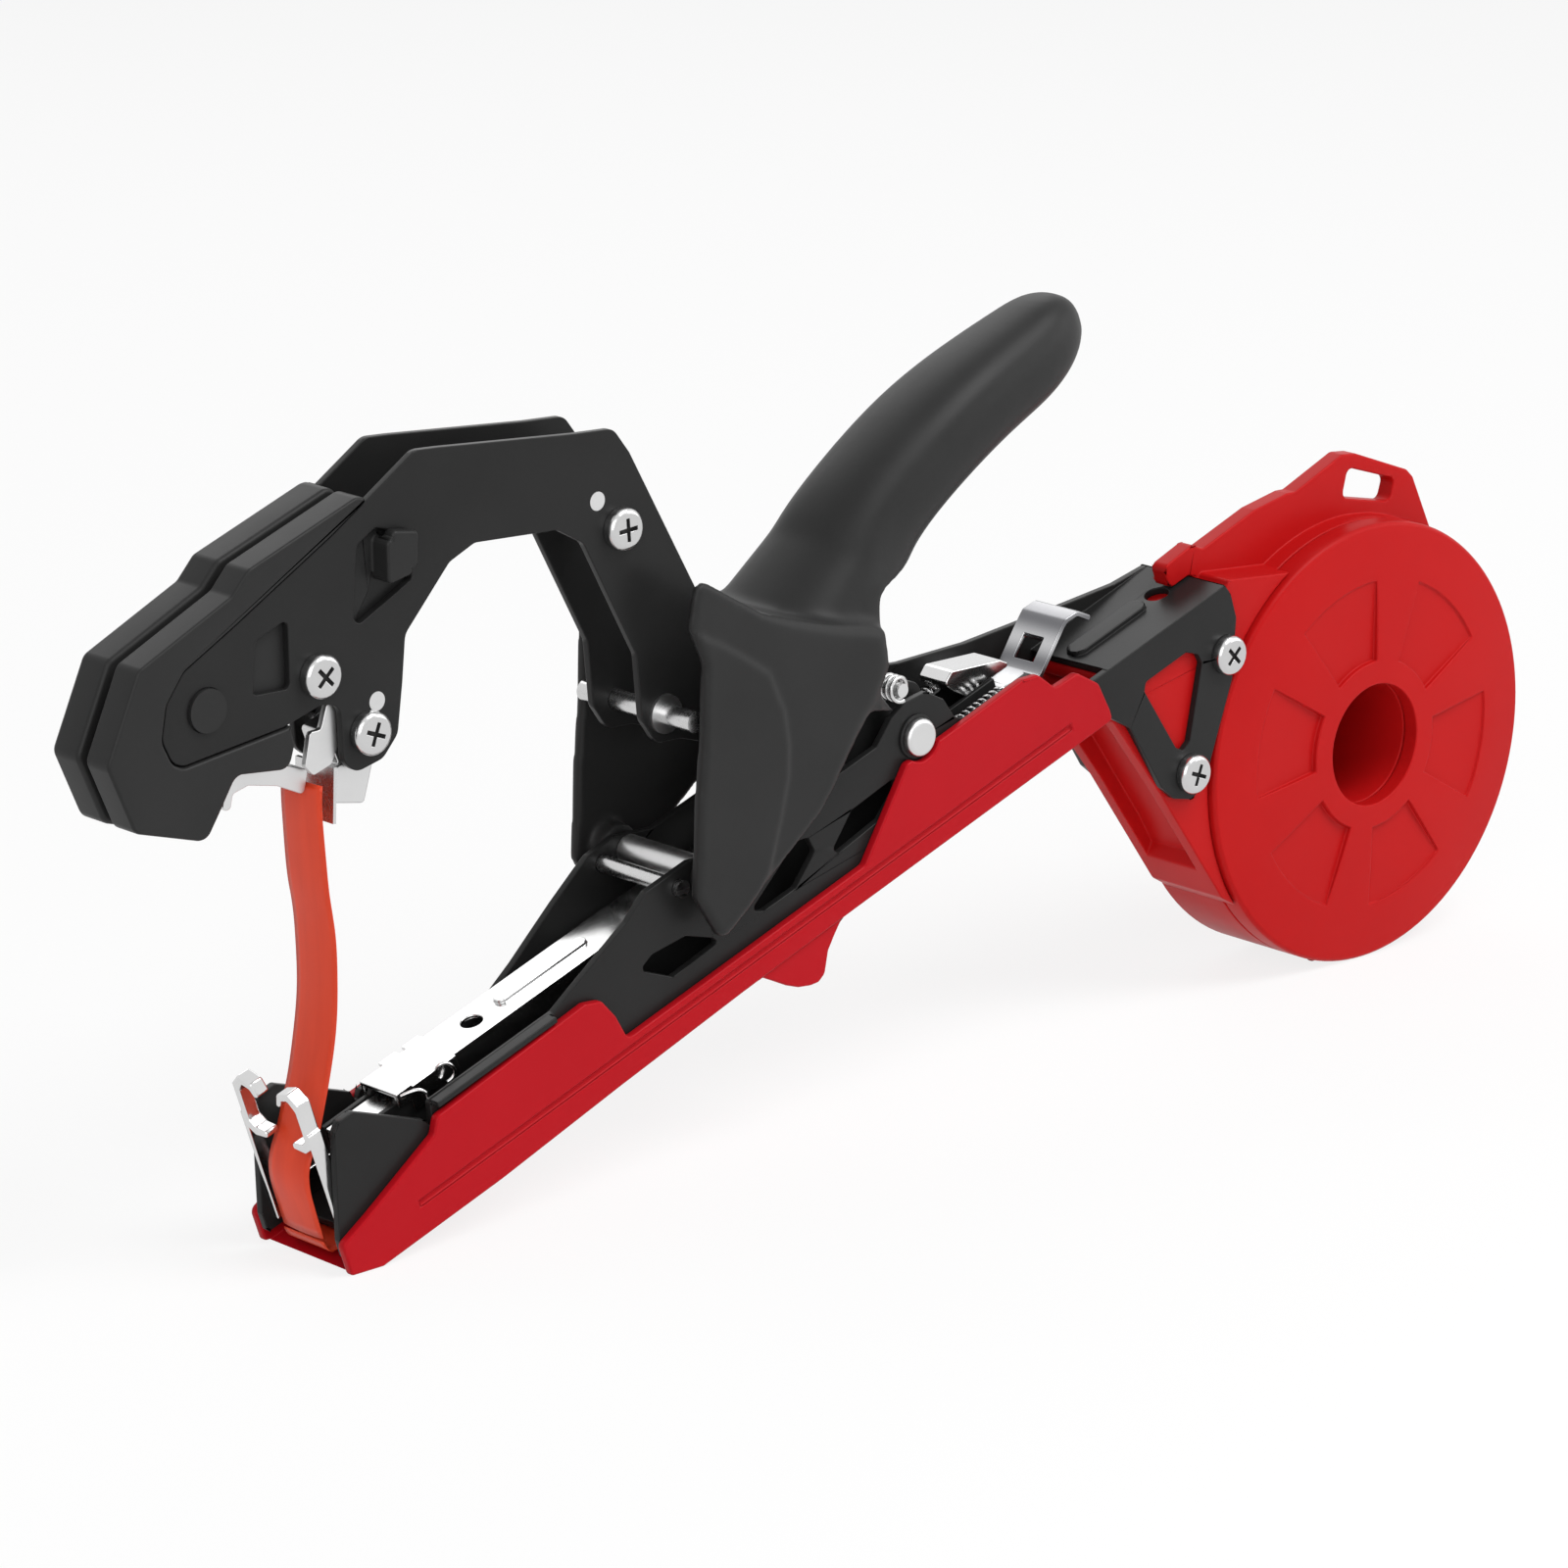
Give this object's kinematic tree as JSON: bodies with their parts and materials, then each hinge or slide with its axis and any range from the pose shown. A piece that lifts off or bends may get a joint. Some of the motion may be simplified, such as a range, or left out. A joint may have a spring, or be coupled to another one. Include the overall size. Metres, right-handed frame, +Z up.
{
  "type": "plant tying tool",
  "caption": "Hand tool for tying plants: a squeeze handle brings a jaw down on a nose, where tape from a reel is wrapped, stapled and cut.",
  "frame": {"origin": "centre of the flat sole under the nose, with the tool standing on that sole and on the rim of its reel case", "axes": "+X from the nose towards the reel, +Z up, -Y the side with the screw heads"},
  "size_m": [0.3497, 0.0348, 0.1444],
  "materials": {
    "black_steel": "satin",
    "red_plastic": "satin",
    "reel_plastic": "satin",
    "black_plastic": "satin",
    "chrome": "polished",
    "steel": "brushed",
    "zinc": "satin",
    "tape": "satin",
    "card": "matt"
  },
  "bodies": {
    "body": {"frame_channel": "black_steel", "bottom_cover": "red_plastic", "reel_case": "reel_plastic", "lid_hinge_pin": "steel", "tape_run": "tape", "tape_span": "tape", "tape_guide_pin": "steel", "reel_screws": "chrome", "reel_nuts": "zinc", "magazine_rail": "black_steel", "magazine_cover": "chrome", "staple_stick": "steel", "staple_driver": "steel", "pusher_rod": "steel", "pusher_spring": "steel", "tape_catcher_near": "chrome", "tape_catcher_far": "chrome", "handle_pivot_pin": "steel", "stop_pin": "steel", "pivot_sleeve": "zinc", "arm_pivot_rivet": "zinc", "rivet_collars": "black_plastic", "latch_pin": "steel", "magazine_lock": "chrome", "latch_springs": "steel"},
    "handle": {"handle_grip": "black_plastic"},
    "arm": {"arm_plate_near": "black_steel", "arm_plate_far": "black_steel", "head_half_near": "black_plastic", "head_half_far": "black_plastic", "head_plugs": "black_plastic", "arm_spacers": "chrome", "arm_bushes": "zinc", "arm_screws": "chrome", "arm_nuts": "zinc", "dowel_pins": "zinc", "link_pin": "steel", "link_clips": "zinc", "gripper_pin": "steel", "clincher_plate": "zinc", "blade_holder": "zinc", "cutter_blade": "steel", "return_spring": "steel", "spring_post": "zinc"},
    "gripper": {"gripper_lever": "zinc"},
    "pusher": {"staple_pusher": "zinc"},
    "latch": {"magazine_latch": "chrome"},
    "lid": {"reel_lid": "reel_plastic"},
    "roll": {"tape_roll": "tape", "tape_core": "card"}
  },
  "joints": [
    {"name": "handle_squeeze", "type": "hinge", "parent": "body", "child": "handle", "pos_m": [0.08043, 0, 0.05451], "axis": [0, 1, 0], "range_deg": [0, 18], "stiffness_Nm_per_rad": 1.5, "springref_deg": -25.78},
    {"name": "arm_close", "type": "hinge", "parent": "body", "child": "arm", "pos_m": [0.13277, 0, 0.06989], "axis": [0, 1, 0], "range_deg": [-21.6, 0], "deforming": ["tape_span"]},
    {"name": "gripper_swing", "type": "hinge", "parent": "arm", "child": "gripper", "pos_m": [0.00393, 0, 0.09993], "axis": [0, 1, 0], "range_deg": [0, 8], "stiffness_Nm_per_rad": 0.02, "springref_deg": -17.19},
    {"name": "pusher_slide", "type": "slide", "parent": "body", "child": "pusher", "axis": [0.9455, 0, 0.3255], "range_m": [0, 0.06], "stiffness_N_per_m": 10, "springref_m": -0.02, "deforming": ["pusher_spring"]},
    {"name": "latch_press", "type": "hinge", "parent": "body", "child": "latch", "pos_m": [0.16627, 0, 0.06936], "axis": [0, 1, 0], "range_deg": [0, 14], "stiffness_Nm_per_rad": 0.05, "springref_deg": -17.19},
    {"name": "lid_open", "type": "hinge", "parent": "body", "child": "lid", "pos_m": [0.25722, -0.00585, 0.002], "axis": [1, 0, 0], "range_deg": [0, 70]},
    {"name": "roll_spin", "type": "hinge", "parent": "body", "child": "roll", "pos_m": [0.25722, 0, 0.0442], "axis": [0, 1, 0], "continuous": true}
  ],
  "couplings": [
    {"joint": "arm_close", "follows": "handle_squeeze", "ratio": -1.2}
  ]
}
